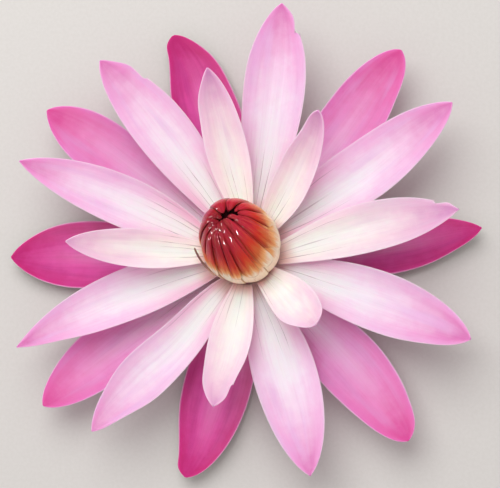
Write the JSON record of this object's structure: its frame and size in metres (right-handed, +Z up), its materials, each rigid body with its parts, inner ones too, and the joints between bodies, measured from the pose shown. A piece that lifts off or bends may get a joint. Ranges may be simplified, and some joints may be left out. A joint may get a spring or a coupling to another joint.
{
  "type": "water lily flower",
  "caption": "Open water lily bloom as picked, lying face up: pink sepals and petals in rising whorls round a closed dome of strap-shaped stamens.",
  "frame": {"origin": "centre of the flat cut end of the flower stalk, on the surface the bloom rests on", "axes": "+Z up along the flower axis, towards the stamens; +X and +Y in the plane of the petals"},
  "size_m": [0.1583, 0.1556, 0.034],
  "materials": {
    "receptacle": "satin",
    "sepal": "satin",
    "outer_petal": "satin",
    "middle_petal": "satin",
    "inner_petal": "satin",
    "stamens": "gloss"
  },
  "bodies": {
    "root": {"receptacle": "receptacle", "sepal_1": "sepal", "sepal_2": "sepal", "sepal_3": "sepal", "sepal_4": "sepal", "outer_petal_1": "outer_petal", "outer_petal_2": "outer_petal", "outer_petal_3": "outer_petal", "outer_petal_4": "outer_petal", "middle_petal_1": "middle_petal", "middle_petal_2": "middle_petal", "middle_petal_3": "middle_petal", "middle_petal_4": "middle_petal", "middle_petal_5": "middle_petal", "middle_petal_6": "middle_petal", "middle_petal_7": "middle_petal", "middle_petal_8": "middle_petal", "inner_petal_1": "inner_petal", "inner_petal_2": "inner_petal", "inner_petal_3": "inner_petal", "inner_petal_4": "inner_petal", "inner_petal_5": "inner_petal", "inner_petal_6": "inner_petal", "stamens": "stamens"}
  },
  "joints": []
}
